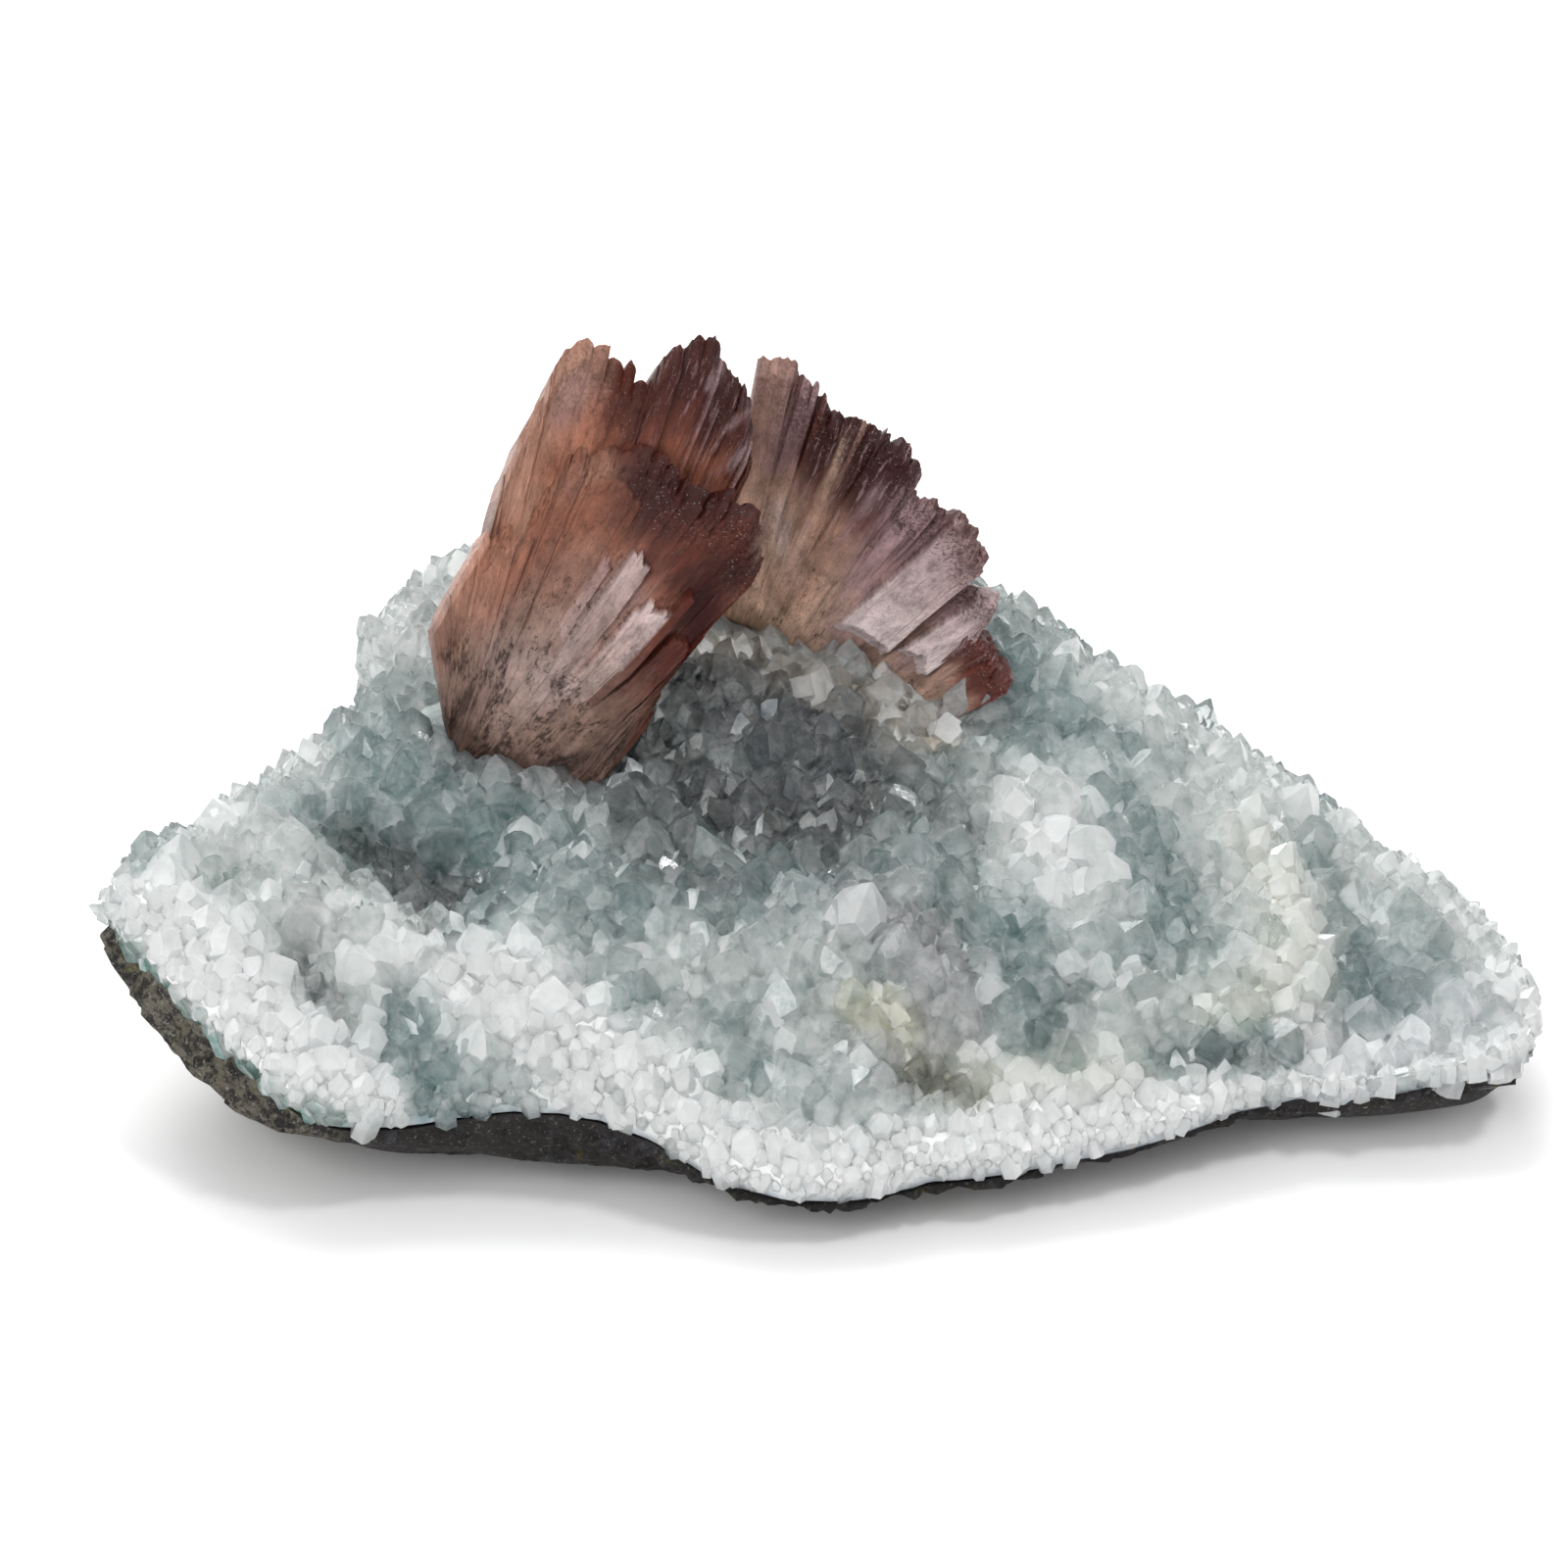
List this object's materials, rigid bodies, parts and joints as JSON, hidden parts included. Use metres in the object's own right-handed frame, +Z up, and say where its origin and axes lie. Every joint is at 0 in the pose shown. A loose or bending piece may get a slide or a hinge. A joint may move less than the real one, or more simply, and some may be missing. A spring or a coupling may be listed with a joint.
{
  "type": "heulandite on quartz specimen",
  "caption": "Mineral specimen: fans of red-brown heulandite blades on a crust of pale quartz points, over a basalt plate cut flat underneath.",
  "frame": {"origin": "on the flat cut underneath, below the middle of the plate", "axes": "+X to the right of the face that is shown, +Y behind it, +Z up out of the flat cut"},
  "size_m": [0.1281, 0.0817, 0.0627],
  "materials": {
    "basalt": "rough broken basalt, dark grey-brown with a thin green rind",
    "quartz": "translucent glassy points, milky white on ridges and blue-green grey in hollows",
    "heulandite": "translucent blades, tan and speckled at the foot, wine red at the tips, fine streaks along the length"
  },
  "bodies": {
    "root": {"basalt_matrix": "basalt", "quartz_druse": "quartz", "heulandite_left_sheaf": "heulandite", "heulandite_right_fan": "heulandite"}
  },
  "joints": []
}
